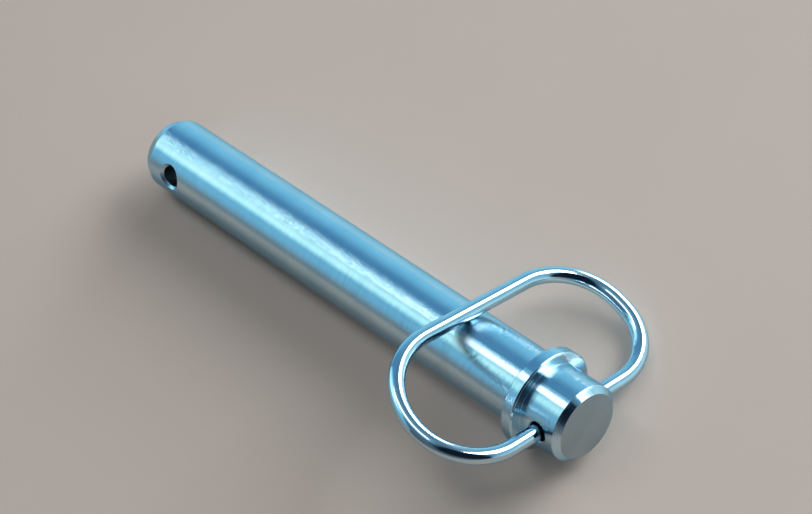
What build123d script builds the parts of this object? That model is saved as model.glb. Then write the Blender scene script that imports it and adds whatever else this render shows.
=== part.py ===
from build123d import *
import os
from math import asin, atan2, cos, hypot, radians, sin, tan

# Lynch pin: one turned steel pin, with a bent wire bail that swings in its head.
# Millimetres. The pin lies as it comes to rest, on its collar, on the rim of its tip and on one
# side of the bail, which stops it rolling. X runs from the head to the tip, Z is up, the floor is
# Z = 0, and the origin is under the middle of the whole object.

# Shaft, and the taper that leads its tip into a hole
shaft_diameter = 19.0
overall_length = 152.0
tip_taper_length = 2.6
tip_taper_depth = 1.3

# Head: the short stub beyond the collar, with a broad chamfer round its flat end face
head_diameter = 19.8
head_length = 12.0
head_chamfer = 1.5

# Collar that stops the pin in its hole
collar_diameter = 25.4
collar_width = 3.4
collar_edge_chamfer = 0.35

# Cross holes: one in the head for the bail, one near the tip for a retaining clip
head_hole_diameter = 5.0
head_hole_from_face = 6.4
head_hole_edge_chamfer = 0.3
tip_hole_diameter = 5.6
tip_hole_from_end = 10.4
tip_hole_twist = 6.5
tip_hole_edge_chamfer = 0.8

# Bail: a loop of round wire, its two ends meeting inside the head hole
wire_diameter = 4.0
bail_reach = 33.9
bail_half_width = 33.15
far_run_slope = 1.7
raised_near_bend = 16.0
raised_far_bend = 18.5
lowered_far_bend = 16.8
lowered_near_bend = 14.9
wire_end_gap = 3.0

# How the wire lies in its hole, and the gaps that keep the two pieces apart
wire_lie_angle = 38.0
wire_to_hole_gap = 0.06
wire_to_shaft_gap = 0.1

# Worked out from the dimensions above
shaft_radius = shaft_diameter / 2
head_radius = head_diameter / 2
collar_radius = collar_diameter / 2
wire_radius = wire_diameter / 2
face_radius = head_radius - head_chamfer
tip_end_radius = shaft_radius - tip_taper_depth
collar_back = head_length + collar_width
tip_rim = overall_length - tip_taper_length

# The wire's centre line in the head, measured from the head face and from the pin's axis
wire_slack = head_hole_diameter / 2 - wire_radius - wire_to_hole_gap
wire_from_face = head_hole_from_face + wire_slack * cos(radians(wire_lie_angle))
wire_drop = wire_slack * sin(radians(wire_lie_angle))

# The bail leans on the shaft at this angle from the pin's axis
bail_lean = asin((shaft_radius + wire_radius + wire_to_shaft_gap + wire_drop) / bail_reach)

# The collar is wider than the tip, so the pin's axis slopes down towards the tip
collar_rim = collar_back - collar_edge_chamfer
pin_slope = atan2(collar_radius - shaft_radius, tip_rim - collar_rim)
axis_height = collar_radius * cos(pin_slope) + collar_rim * sin(pin_slope)


def bail_height(roll):
    """Height of the bail's lowered side above the floor, with the pin rolled by this angle."""
    hole_rise = sin(roll) * cos(pin_slope)
    square_rise = cos(roll) * cos(pin_slope)
    reach_rise = sin(bail_lean) * square_rise - cos(bail_lean) * sin(pin_slope)
    wire_height = axis_height - wire_from_face * sin(pin_slope) - wire_drop * square_rise
    bend_centre_out = bail_half_width - lowered_near_bend
    bend_height = wire_height - bend_centre_out * hole_rise + lowered_near_bend * reach_rise
    return bend_height - lowered_near_bend * hypot(hole_rise, reach_rise) - wire_radius


def rest_roll():
    """The pin rolls about its axis until the bail's lowered side comes down to the floor."""
    level = 0.0
    steep = radians(60)
    while steep - level > 1e-9:
        middle = (level + steep) / 2
        if bail_height(middle) > 0:
            level = middle
        else:
            steep = middle
    return (level + steep) / 2


pin_roll = rest_roll()

# Directions: along the pin to its tip, along the head hole to the raised side, and square to both
along_pin = Vector(cos(pin_slope), 0, -sin(pin_slope))
above_pin = Vector(sin(pin_slope), 0, cos(pin_slope))
along_hole = Vector(0, 1, 0) * cos(pin_roll) + above_pin * sin(pin_roll)
square_up = above_pin * cos(pin_roll) - Vector(0, 1, 0) * sin(pin_roll)
along_bail = along_pin * cos(bail_lean) + square_up * sin(bail_lean)


def bail_route(face_centre):
    """The wire's centre line: out of the hole, round the loop, and back into the hole."""
    wire_centre = face_centre + along_pin * wire_from_face - square_up * wire_drop
    loop_plane = Plane(wire_centre, x_dir=along_hole, z_dir=along_hole.cross(along_bail))
    slope_rise = bail_half_width * tan(radians(far_run_slope))
    with BuildLine(loop_plane) as route:
        FilletPolyline(
            (wire_end_gap / 2, 0),
            (bail_half_width, 0),
            (bail_half_width, bail_reach + slope_rise),
            (-bail_half_width, bail_reach - slope_rise),
            (-bail_half_width, 0),
            (-wire_end_gap / 2, 0),
            radius=[raised_near_bend, raised_far_bend, lowered_far_bend, lowered_near_bend],
        )
    return route.wires()[0]


# The origin is under the middle of the object: the pin sets its length, the bail its width
head_end = -face_radius * sin(pin_slope)
tip_end = overall_length * cos(pin_slope) + tip_end_radius * sin(pin_slope)
bail_box = bail_route(Vector(0, 0, axis_height)).bounding_box()
bail_middle = (bail_box.min.Y + bail_box.max.Y) / 2
face_centre = Vector(-(head_end + tip_end) / 2, -bail_middle, axis_height)


# Pin: one turning, half its section revolved about its axis, then cross drilled
pin_section = Plane(face_centre, x_dir=along_pin, z_dir=-Vector(0, 1, 0))
pin_axis = Axis(face_centre, along_pin)
twist = radians(tip_hole_twist)
tip_hole_direction = along_hole * cos(twist) + square_up * sin(twist)
head_hole_place = Plane(face_centre + along_pin * head_hole_from_face, z_dir=along_hole)
tip_hole_centre = face_centre + along_pin * (overall_length - tip_hole_from_end)
tip_hole_place = Plane(tip_hole_centre, z_dir=tip_hole_direction)

with BuildPart() as pin:
    with BuildSketch(pin_section) as half_section:
        with BuildLine():
            Polyline(
                (0, 0),
                (0, face_radius),
                (head_chamfer, head_radius),
                (head_length, head_radius),
                (head_length, collar_radius),
                (collar_back, collar_radius),
                (collar_back, shaft_radius),
                (tip_rim, shaft_radius),
                (overall_length, tip_end_radius),
                (overall_length, 0),
                close=True,
            )
        make_face()
        collar_edges = half_section.vertices().group_by(Axis.Y)[-1]
        chamfer(collar_edges, length=collar_edge_chamfer)
    revolve(axis=pin_axis)
    with Locations(head_hole_place):
        Hole(radius=head_hole_diameter / 2)
    with Locations(tip_hole_place):
        Hole(radius=tip_hole_diameter / 2)
    hole_mouths = pin.edges().filter_by(GeomType.BSPLINE).sort_by(Axis.X)
    chamfer(hole_mouths[:2], length=head_hole_edge_chamfer)
    chamfer(hole_mouths[2:], length=tip_hole_edge_chamfer)
pin.part.label = "pin"


# Bail: round wire swept along its bent route
wire_path = bail_route(face_centre)

with BuildPart() as bail:
    with BuildSketch(Plane(wire_path @ 0, z_dir=wire_path % 0)) as wire_section:
        Circle(radius=wire_radius)
    sweep(path=wire_path)
bail.part.label = "bail"


os.makedirs("parts", exist_ok=True)
export_step(pin.part, "parts/pin.step")
export_step(bail.part, "parts/bail.step")
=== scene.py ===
import bpy
from math import cos, pi, radians, sin
from mathutils import Matrix, Vector

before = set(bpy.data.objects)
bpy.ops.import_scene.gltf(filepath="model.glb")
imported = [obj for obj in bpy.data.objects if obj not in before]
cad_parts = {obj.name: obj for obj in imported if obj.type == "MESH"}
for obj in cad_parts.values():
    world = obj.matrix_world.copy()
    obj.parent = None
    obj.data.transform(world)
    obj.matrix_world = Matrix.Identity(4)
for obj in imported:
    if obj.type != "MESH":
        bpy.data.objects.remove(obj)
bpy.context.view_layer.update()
scene = bpy.context.scene
scene.view_settings.view_transform = "Standard"

# Lengths are in metres, angles in radians, and colours are linear.

# How the CAD part lies: the middle of its end face, its slope and its roll, and the bail's lean
FACE_CENTRE = Vector((-0.0759761, 0.0022429, 0.0130548))
PIN_SLOPE = radians(1.3644)
PIN_ROLL = radians(24.3056)
BAIL_LEAN = radians(20.498)
PIN_LENGTH = 0.152

ALONG_PIN = Vector((cos(PIN_SLOPE), 0, -sin(PIN_SLOPE)))
ABOVE_PIN = Vector((sin(PIN_SLOPE), 0, cos(PIN_SLOPE)))
ALONG_HOLE = Vector((0, 1, 0)) * cos(PIN_ROLL) + ABOVE_PIN * sin(PIN_ROLL)
SQUARE_UP = ABOVE_PIN * cos(PIN_ROLL) - Vector((0, 1, 0)) * sin(PIN_ROLL)
PIN_TURN = Matrix((ALONG_PIN, ALONG_HOLE, SQUARE_UP)).transposed()

# The cross holes' places from the end face, and their radii
HEAD_HOLE = 0.0064
HEAD_BORE = 0.0025
TIP_HOLE = 0.1416
TIP_BORE = 0.0028
TIP_HOLE_TWIST = radians(6.5)

# A surface this close to an end face, or to a bore, counts as lying on it
FACE_MARGIN = 0.00006
BORE_MARGIN = 0.00002

# Where the bail rests on the shaft, and how far to each side it has rubbed fully and at all
BAIL_REST = 0.0385
RUBBED_FULLY = 0.0015
RUBBED_AT_ALL = 0.0050

# The scuffed strip: where along the pin it begins and is at its full depth, which side of the pin it
# runs down, and how far to each side of that line it is full and fades out
SCUFFS_BEGIN = 0.028
SCUFFS_FULL = 0.080
SCUFFED_SIDE = radians(29)
SCUFFED_FULLY = radians(5)
SCUFFED_AT_ALL = radians(10)

# Colours of the finishes. A pair is the two tones that the clouds in a surface run between.
PIN_ZINC = ((0.49, 0.67, 0.77), (0.56, 0.72, 0.80))
WIRE_ZINC = ((0.52, 0.68, 0.77), (0.60, 0.73, 0.80))
SAWN_STEEL = ((0.37, 0.41, 0.43), (0.415, 0.46, 0.475))
# Darker in the bores: drilled steel, and painted shade in the recess
SHADED_DRILLED_STEEL = (0.26, 0.31, 0.34)
# Lighter on the pin's edges: worn plating, and a painted highlight
WORN_EDGE_HIGHLIGHT = (0.72, 0.78, 0.80)
RUBBED_ZINC = (0.42, 0.47, 0.50)
GRAZING_TINT = (0.46, 0.71, 0.88)

# How much of its own colour a worn edge and the rubbed band take on; on the edge that lighter colour
# is also a painted highlight
EDGE_WEAR_AND_HIGHLIGHT = 0.6
RUB_WEAR = 0.35

# A noise keeps near the middle of 0 to 1. Between these limits it is stretched to its full effect.
TONE_LIMITS = (0.35, 0.65)
ROUGHNESS_LIMITS = (0.3, 0.7)
PATCH_LIMITS = (0.45, 0.65)
DENT_LIMITS = (0.52, 0.62)
DRAW_LINE_LIMITS = (0.55, 0.75)

# Roughness of the plating from the smooth to the rough end of its clouds, and what its speckles and
# the wire's draw lines add at both of their ends
PIN_ROUGHNESS = (0.05, 0.10)
PIN_SPECKLES = (-0.02, 0.04)
WIRE_ROUGHNESS = (0.04, 0.08)
WIRE_SPECKLES = (-0.01, 0.02)
WIRE_DRAW_LINES = (0.0, 0.06)

# Roughness of the bare steel, and what wear adds to the plating's roughness
SAWN_ROUGHNESS = 0.5
DRILLED_ROUGHNESS = 0.32
EDGE_ROUGHENING = 0.12
RUB_ROUGHENING = 0.14
TIP_ROUGHENING = 0.05

# How deep the marks in the surfaces are, and what share of the scuffs' depth is left off the strip
RING_DEPTH = 0.000028
SCUFF_DEPTH = 0.000070
SCUFFS_OFF_STRIP = 0.02
SAWN_DEPTH = 0.000020
WIRE_MARK_DEPTH = 0.000002

# The pattern of the scuffs' dents is drawn out along the pin
DENT_STRETCH = (0.7, 1.0, 1.0)

# How far the pin's edges are rounded in its look, and how far the rounded normal has to lean off the
# flat one, as a cosine, for an edge to begin and to be full
EDGE_RADIUS = 0.00016
EDGE_SAMPLES = 6
EDGE_BEGINS = 0.998
EDGE_FULL = 0.96

MM_PER_METRE = 1000.0

# Where Blender's mix node keeps its share, its two colours and the colour they make
MIX_SHARE, MIX_FIRST, MIX_SECOND = 0, 6, 7
MIX_MADE = 2


# Small helpers for the finishes
def fill(tree, socket, value):
    """Link a socket to another node's output, or set it to a plain value."""
    if isinstance(value, bpy.types.NodeSocket):
        tree.links.new(value, socket)
    else:
        socket.default_value = value


def opaque(colour):
    """Three numbers become a full colour; a node's output stays as it is."""
    return colour if isinstance(colour, bpy.types.NodeSocket) else (*colour, 1)


def node(tree, kind, **inputs):
    made = tree.nodes.new(kind)
    for name, value in inputs.items():
        fill(tree, made.inputs[name.replace("_", " ")], value)
    return made


def maths(tree, operation, first, second=0.0, third=0.0):
    made = tree.nodes.new("ShaderNodeMath")
    made.operation = operation
    for socket, value in zip(made.inputs, (first, second, third)):
        fill(tree, socket, value)
    return made.outputs[0]


def between(tree, value, low, high, new_low=0.0, new_high=1.0):
    """Move a value from one range to another, and hold it at the ends."""
    made = node(tree, "ShaderNodeMapRange", Value=value, From_Min=low, From_Max=high,
                To_Min=new_low, To_Max=new_high)
    return made.outputs[0]


def ramp(tree, value, stops):
    made = node(tree, "ShaderNodeValToRGB", Fac=value)
    elements = made.color_ramp.elements
    elements[0].position, elements[0].color = stops[0][0], opaque(stops[0][1])
    elements[1].position, elements[1].color = stops[-1][0], opaque(stops[-1][1])
    for position, colour in stops[1:-1]:
        elements.new(position).color = opaque(colour)
    return made.outputs[0]


def blend_colours(tree, share, first, second):
    made = tree.nodes.new("ShaderNodeMix")
    made.data_type = "RGBA"
    fill(tree, made.inputs[MIX_SHARE], share)
    fill(tree, made.inputs[MIX_FIRST], opaque(first))
    fill(tree, made.inputs[MIX_SECOND], opaque(second))
    return made.outputs[MIX_MADE]


def noise(tree, place, scale, detail, roughness):
    made = node(tree, "ShaderNodeTexNoise", Vector=place, Scale=scale, Detail=detail,
                Roughness=roughness)
    return made.outputs["Fac"]


def line_marks(tree, across_lines, lines_per_mm, detail=3.0, roughness=0.7):
    """Fine parallel marks, a pattern that changes in one direction only."""
    marks = tree.nodes.new("ShaderNodeTexNoise")
    marks.noise_dimensions = "1D"
    millimetres = maths(tree, "MULTIPLY", across_lines, MM_PER_METRE)
    fill(tree, marks.inputs["W"], millimetres)
    fill(tree, marks.inputs["Scale"], lines_per_mm)
    fill(tree, marks.inputs["Detail"], detail)
    fill(tree, marks.inputs["Roughness"], roughness)
    return marks.outputs["Fac"]


def new_finish(name):
    material = bpy.data.materials.new(name)
    material.use_nodes = True
    tree = material.node_tree
    return material, tree, tree.nodes["Principled BSDF"]


def place_on_pin(tree):
    """Object coordinates turned so that X runs along the pin from its end face."""
    here = tree.nodes.new("ShaderNodeTexCoord").outputs["Object"]
    turned = node(tree, "ShaderNodeMapping", Vector=here)
    turned.vector_type = "TEXTURE"
    turned.inputs["Location"].default_value = FACE_CENTRE
    turned.inputs["Rotation"].default_value = PIN_TURN.to_euler()
    return turned.outputs[0]


def plate_with_zinc(tree, metal, colour, roughness, bump):
    """Give a metal its colour, roughness and relief, and the plating's tint at a grazing angle."""
    fill(tree, metal.inputs["Base Color"], colour)
    fill(tree, metal.inputs["Roughness"], roughness)
    fill(tree, metal.inputs["Normal"], bump)
    metal.inputs["Metallic"].default_value = 1.0
    metal.inputs["Specular Tint"].default_value = opaque(GRAZING_TINT)


def in_bore(tree, along, aside, station, radius):
    """One inside a cross hole: along is measured down the pin, aside across the hole's axis."""
    off_axis = maths(tree, "SUBTRACT", along, station)
    aside_squared = maths(tree, "MULTIPLY", aside, aside)
    reach = maths(tree, "SQRT", maths(tree, "MULTIPLY_ADD", off_axis, off_axis, aside_squared))
    return maths(tree, "LESS_THAN", reach, radius + BORE_MARGIN)


def worn_highlit_edges(tree):
    """The pin's normal with its edges rounded, and a mask that is one on those edges."""
    rounded = tree.nodes.new("ShaderNodeBevel")
    rounded.samples = EDGE_SAMPLES
    rounded.inputs["Radius"].default_value = EDGE_RADIUS
    flat = tree.nodes.new("ShaderNodeNewGeometry").outputs["Normal"]
    facing = tree.nodes.new("ShaderNodeVectorMath")
    facing.operation = "DOT_PRODUCT"
    tree.links.new(rounded.outputs[0], facing.inputs[0])
    tree.links.new(flat, facing.inputs[1])
    return rounded.outputs[0], between(tree, facing.outputs["Value"], EDGE_BEGINS, EDGE_FULL)


def turned_zinc():
    """Bright blue-white zinc over turned steel: tool rings, scuffs, worn edges lightened also as a
    painted highlight, duller sawn ends, and bores darkened also as painted shade.
    """
    material, tree, metal = new_finish("turned_zinc")
    place = place_on_pin(tree)
    along, across, up = node(tree, "ShaderNodeSeparateXYZ", Vector=place).outputs
    up_squared = maths(tree, "MULTIPLY", up, up)
    out = maths(tree, "SQRT", maths(tree, "MULTIPLY_ADD", across, across, up_squared))
    clouds = noise(tree, place, scale=90.0, detail=3.0, roughness=0.6)
    speckle = noise(tree, place, scale=1500.0, detail=2.0, roughness=0.6)

    # Where the steel was only sawn or drilled. The bores are also darkened as painted shade.
    end_face = maths(tree, "LESS_THAN", along, FACE_MARGIN)
    tip_face = maths(tree, "GREATER_THAN", along, PIN_LENGTH - FACE_MARGIN)
    sawn = maths(tree, "MAXIMUM", end_face, tip_face)
    twisted_aside = maths(tree, "MULTIPLY", across, -sin(TIP_HOLE_TWIST))
    beside_tip_hole = maths(tree, "MULTIPLY_ADD", up, cos(TIP_HOLE_TWIST), twisted_aside)
    drilled_and_shaded = maths(tree, "MAXIMUM", in_bore(tree, along, up, HEAD_HOLE, HEAD_BORE),
                    in_bore(tree, along, beside_tip_hole, TIP_HOLE, TIP_BORE))

    # Where the plating is thin: on the edges, and in patches under the bail. The edges' lighter
    # colour is also a painted highlight.
    rounded_normal, edge = worn_highlit_edges(tree)
    from_bail = maths(tree, "ABSOLUTE", maths(tree, "SUBTRACT", along, BAIL_REST))
    under_bail = between(tree, from_bail, RUBBED_FULLY, RUBBED_AT_ALL, 1.0, 0.0)
    patches = noise(tree, place, scale=420.0, detail=4.0, roughness=0.7)
    rubbed = maths(tree, "MULTIPLY", under_bail, between(tree, patches, *PATCH_LIMITS))

    # A scuffed strip along the side that lay uppermost, from the bail to the tip
    towards_tip = between(tree, along, SCUFFS_BEGIN, SCUFFS_FULL)
    round_pin = maths(tree, "ARCTAN2", across, up)
    from_strip = maths(tree, "ABSOLUTE", maths(tree, "SUBTRACT", round_pin, SCUFFED_SIDE))
    in_strip = between(tree, from_strip, SCUFFED_FULLY, SCUFFED_AT_ALL, 1.0, 0.0)
    scuffed = maths(tree, "MULTIPLY", towards_tip, in_strip)

    tone = between(tree, clouds, *TONE_LIMITS)
    colour = blend_colours(tree, tone, *PIN_ZINC)
    # The edges take a lighter colour: worn plating, and a painted highlight
    colour = blend_colours(tree, maths(tree, "MULTIPLY", edge, EDGE_WEAR_AND_HIGHLIGHT), colour, WORN_EDGE_HIGHLIGHT)
    colour = blend_colours(tree, maths(tree, "MULTIPLY", rubbed, RUB_WEAR), colour, RUBBED_ZINC)
    colour = blend_colours(tree, sawn, colour, blend_colours(tree, tone, *SAWN_STEEL))
    # The bores take a darker colour: drilled steel, and painted shade
    colour = blend_colours(tree, drilled_and_shaded, colour, SHADED_DRILLED_STEEL)

    cloudy = between(tree, clouds, *ROUGHNESS_LIMITS, *PIN_ROUGHNESS)
    speckled = between(tree, speckle, *ROUGHNESS_LIMITS, *PIN_SPECKLES)
    plated = maths(tree, "ADD", cloudy, maths(tree, "MULTIPLY", towards_tip, TIP_ROUGHENING))
    plated = maths(tree, "ADD", plated, speckled)
    plated = maths(tree, "MULTIPLY_ADD", edge, EDGE_ROUGHENING, plated)
    plated = maths(tree, "MULTIPLY_ADD", rubbed, RUB_ROUGHENING, plated)
    rough = maths(tree, "MAXIMUM", plated, maths(tree, "MULTIPLY", sawn, SAWN_ROUGHNESS))
    rough = maths(tree, "MAXIMUM", rough, maths(tree, "MULTIPLY", drilled_and_shaded, DRILLED_ROUGHNESS))

    # Relief: tool rings on every turned surface, scuffs in the strip, and coarse sawn faces
    rings = line_marks(tree, maths(tree, "ADD", along, out), lines_per_mm=6.0, detail=2.0,
                       roughness=0.5)
    stretched = node(tree, "ShaderNodeMapping", Vector=place)
    stretched.inputs["Scale"].default_value = DENT_STRETCH
    dents = noise(tree, stretched.outputs[0], scale=2600.0, detail=2.0, roughness=0.6)
    dents = between(tree, dents, *DENT_LIMITS)
    dent_depth = maths(tree, "MULTIPLY_ADD", scuffed, SCUFF_DEPTH, SCUFFS_OFF_STRIP * SCUFF_DEPTH)
    relief = maths(tree, "MULTIPLY_ADD", rings, RING_DEPTH,
                   maths(tree, "MULTIPLY", dents, dent_depth))
    relief = maths(tree, "MULTIPLY_ADD", maths(tree, "MULTIPLY", speckle, sawn), SAWN_DEPTH, relief)
    bump = node(tree, "ShaderNodeBump", Height=relief, Strength=1.0, Distance=1.0,
                Normal=rounded_normal)
    plate_with_zinc(tree, metal, colour, rough, bump.outputs[0])
    return material


def wire_zinc():
    """The same plating over drawn wire, smoother and glossier, with faint lines along the wire."""
    material, tree, metal = new_finish("wire_zinc")
    place = place_on_pin(tree)
    along, _, up = node(tree, "ShaderNodeSeparateXYZ", Vector=place).outputs
    leaned_along = maths(tree, "MULTIPLY", along, -sin(BAIL_LEAN))
    off_loop = maths(tree, "MULTIPLY_ADD", up, cos(BAIL_LEAN), leaned_along)
    clouds = noise(tree, place, scale=160.0, detail=3.0, roughness=0.6)
    speckle = noise(tree, place, scale=1400.0, detail=2.0, roughness=0.6)
    draw_lines = line_marks(tree, off_loop, lines_per_mm=5.0)
    colour = blend_colours(tree, between(tree, clouds, *TONE_LIMITS), *WIRE_ZINC)

    cloudy = between(tree, clouds, *ROUGHNESS_LIMITS, *WIRE_ROUGHNESS)
    speckled = between(tree, speckle, *ROUGHNESS_LIMITS, *WIRE_SPECKLES)
    lined = between(tree, draw_lines, *DRAW_LINE_LIMITS, *WIRE_DRAW_LINES)
    rough = maths(tree, "ADD", maths(tree, "ADD", cloudy, speckled), lined)

    relief = maths(tree, "MULTIPLY_ADD", speckle, WIRE_MARK_DEPTH,
                   maths(tree, "MULTIPLY", draw_lines, WIRE_MARK_DEPTH))
    bump = node(tree, "ShaderNodeBump", Height=relief, Strength=1.0, Distance=1.0)
    plate_with_zinc(tree, metal, colour, rough, bump.outputs[0])
    return material


def dress(name, finish):
    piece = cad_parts[name]
    piece.data.materials.clear()
    piece.data.materials.append(finish)


dress("pin", turned_zinc())
dress("bail", wire_zinc())


# Studio: a pale floor, two soft strip lamps, the sky that the plating mirrors, and the camera
FLOOR_SIZE = 6.0
FLOOR_TONES = ((0.62, 0.555, 0.505), (0.66, 0.59, 0.54))
FLOOR_ROUGHNESS = 0.85

# The colour of the painted sheen that the floor emits, how low the angle is where it begins and is
# full, and where beyond the pin
PAINTED_SHEEN_COLOUR = (0.08, 0.40, 0.50)
SHEEN_BEGINS = 0.23
SHEEN_FULL = 0.60
SHEEN_FULL_BEYOND = -0.02

# How far along the pin from its end face both lamps are aimed
LAMP_AIM = 0.05

# The light that the sky gives to everything but the camera and mirrored rays
PLAIN_LIGHT = (0.12, 0.12, 0.12)
SKY_STRENGTH = 1.25

# The tones of the sky that the plating mirrors, and of the darker room round it
WHITE_GLARE = (0.95, 1.20, 1.12)
PALE_GLARE = (0.48, 1.00, 1.05)
BRIGHT_SKY = (0.28, 0.65, 0.85)
CLEAR_SKY = (0.21, 0.51, 0.69)
DEEP_SKY = (0.09, 0.25, 0.42)
HAZY_SKY = (0.20, 0.42, 0.55)
MUTED_SKY = (0.28, 0.54, 0.67)
DULL_SKY = (0.18, 0.34, 0.44)
DARK_SKY = (0.08, 0.16, 0.24)
GREY_HAZE = (0.20, 0.25, 0.27)
GREY_ROOM = (0.14, 0.145, 0.15)
DIM_ROOM = (0.08, 0.11, 0.14)
UNLIT_ROOM = (0.005, 0.01, 0.02)

# The sky's bands, as degrees round the pin from straight above it and a tone. Plus is the camera's
# side of the pin and minus is beyond it. There is one list for each part of the sky, and the two
# parts towards the tip share their bands beyond the pin and low on the camera's side.
BLUE_BEYOND = [(-140, GREY_ROOM), (-100, HAZY_SKY), (-70, BRIGHT_SKY), (-40, CLEAR_SKY),
               (-15, DEEP_SKY)]
LOW_THIS_SIDE = [(79, CLEAR_SKY), (92, HAZY_SKY), (105, GREY_HAZE), (140, GREY_ROOM)]
TOWARDS_TIP = BLUE_BEYOND + [
    (5, DEEP_SKY), (40, MUTED_SKY), (46, PALE_GLARE), (54, PALE_GLARE), (61, HAZY_SKY),
    (68, HAZY_SKY)] + LOW_THIS_SIDE
BEYOND_TIP = BLUE_BEYOND + [
    (5, DEEP_SKY), (16, BRIGHT_SKY), (24, PALE_GLARE), (48, WHITE_GLARE), (56, WHITE_GLARE),
    (62, PALE_GLARE), (69, CLEAR_SKY)] + LOW_THIS_SIDE
OVER_PIN = [
    (-140, GREY_ROOM), (-95, DULL_SKY), (-65, MUTED_SKY), (-32, DULL_SKY), (-18, DARK_SKY),
    (14, DULL_SKY), (40, MUTED_SKY), (50, DARK_SKY), (85, DIM_ROOM), (140, GREY_ROOM)]
TOWARDS_HEAD = [
    (-140, GREY_ROOM), (-90, DULL_SKY), (-60, MUTED_SKY), (-25, HAZY_SKY), (-12, DARK_SKY),
    (-4, UNLIT_ROOM), (80, UNLIT_ROOM), (100, DIM_ROOM), (140, GREY_ROOM)]

# Where each part of the sky takes over from the one before, by how far a direction points along the
# pin, from -1 at its head to 1 at its tip
OVER_PIN_FROM = (-0.50, -0.25)
TOWARDS_TIP_FROM = (0.30, 0.44)
BEYOND_TIP_FROM = (0.56, 0.60)

# The photograph's viewpoint, found from the pin's and the bail's outlines
FOCAL_LENGTH_MM = 119.67
SENSOR_WIDTH_MM = 36.0
CAMERA_PLACE = (-0.3855712, 0.1482709, 0.5268973)
CAMERA_TURN = (radians(35.01246), radians(17.47082), radians(-135.50265))


def studio_floor():
    bpy.ops.mesh.primitive_plane_add(size=FLOOR_SIZE, location=(0, 0, 0))
    floor = bpy.context.object
    floor.name = "floor"
    material, tree, paint = new_finish("pale_floor")
    place = tree.nodes.new("ShaderNodeTexCoord").outputs["Object"]
    clouds = noise(tree, place, scale=14.0, detail=4.0, roughness=0.6)
    fill(tree, paint.inputs["Base Color"], blend_colours(tree, clouds, *FLOOR_TONES))
    paint.inputs["Roughness"].default_value = FLOOR_ROUGHNESS

    # Beyond the pin and at a low angle, the floor emits a painted sheen of sky to mirrored rays
    # only, and the plating mirrors it
    across = node(tree, "ShaderNodeSeparateXYZ", Vector=place).outputs["Y"]
    beyond_pin = between(tree, across, 0.0, SHEEN_FULL_BEYOND)
    facing = node(tree, "ShaderNodeLayerWeight", Blend=0.5).outputs["Facing"]
    low_angle = between(tree, facing, SHEEN_BEGINS, SHEEN_FULL)
    sheen = maths(tree, "MULTIPLY", low_angle, beyond_pin)
    ray = tree.nodes.new("ShaderNodeLightPath").outputs
    painted_sky_sheen = maths(tree, "MULTIPLY", sheen, ray["Is Glossy Ray"])
    # The floor glows here: a painted reflection of sky, not a lamp
    fill(tree, paint.inputs["Emission Strength"], painted_sky_sheen)
    fill(tree, paint.inputs["Emission Color"], opaque(PAINTED_SHEEN_COLOUR))
    floor.data.materials.append(material)


def on_pin(along, across, up):
    """A direction given along the pin, along the head hole and square to both."""
    return (ALONG_PIN * along + ALONG_HOLE * across + SQUARE_UP * up).normalized()


def strip_light(name, middle, run, distance, length, width, radiance):
    """A long soft strip over the pin, seen in the plating as a white line."""
    lamp = bpy.data.lights.new(name, "AREA")
    lamp.shape = "RECTANGLE"
    lamp.size, lamp.size_y = length, width
    lamp.energy = radiance * pi * length * width
    panel = bpy.data.objects.new(name, lamp)
    scene.collection.objects.link(panel)
    panel.location = FACE_CENTRE + ALONG_PIN * LAMP_AIM + middle * distance
    side = (run - middle * run.dot(middle)).normalized()
    panel.rotation_euler = Matrix((side, middle.cross(side), middle)).transposed().to_euler()


def studio_sky():
    """Soft blue bands that run along the pin, brightest towards its tip and darkest at its head."""
    world = bpy.data.worlds.new("studio_sky")
    scene.world = world
    world.use_nodes = True
    tree = world.node_tree
    way = tree.nodes.new("ShaderNodeTexCoord").outputs["Generated"]
    turned = node(tree, "ShaderNodeMapping", Vector=way)
    turned.vector_type = "TEXTURE"
    turned.inputs["Rotation"].default_value = PIN_TURN.to_euler()
    parts = node(tree, "ShaderNodeSeparateXYZ", Vector=turned.outputs[0]).outputs
    round_pin = maths(tree, "ARCTAN2", parts["Y"], parts["Z"])
    full_turn = between(tree, round_pin, radians(-180), radians(180))

    def bands(stops):
        return ramp(tree, full_turn, [((degrees + 180) / 360, colour) for degrees, colour in stops])

    colour = bands(TOWARDS_HEAD)
    for stops, limits in ((OVER_PIN, OVER_PIN_FROM), (TOWARDS_TIP, TOWARDS_TIP_FROM),
                          (BEYOND_TIP, BEYOND_TIP_FROM)):
        share = between(tree, parts["X"], *limits)
        colour = blend_colours(tree, share, colour, bands(stops))
    ray = tree.nodes.new("ShaderNodeLightPath").outputs
    mirrored = maths(tree, "MAXIMUM", ray["Is Camera Ray"], ray["Is Glossy Ray"])
    background = tree.nodes["Background"]
    fill(tree, background.inputs["Color"], blend_colours(tree, mirrored, PLAIN_LIGHT, colour))
    background.inputs["Strength"].default_value = SKY_STRENGTH


def studio_camera():
    lens = bpy.data.cameras.new("photo_view")
    lens.lens = FOCAL_LENGTH_MM
    lens.sensor_width = SENSOR_WIDTH_MM
    camera = bpy.data.objects.new("photo_view", lens)
    scene.collection.objects.link(camera)
    camera.location = CAMERA_PLACE
    camera.rotation_euler = CAMERA_TURN
    scene.camera = camera


studio_floor()
studio_sky()
strip_light("side_strip", middle=on_pin(-0.2405, -0.6454, 0.72),
            run=on_pin(0.695, -0.654, -0.299), distance=2.0, length=2.6, width=0.92, radiance=6.6)
strip_light("overhead_strip", middle=on_pin(0.154, 0.467, 0.871),
            run=on_pin(0.9865, -0.123, -0.109), distance=1.1, length=1.10, width=0.275, radiance=2.4)
studio_camera()
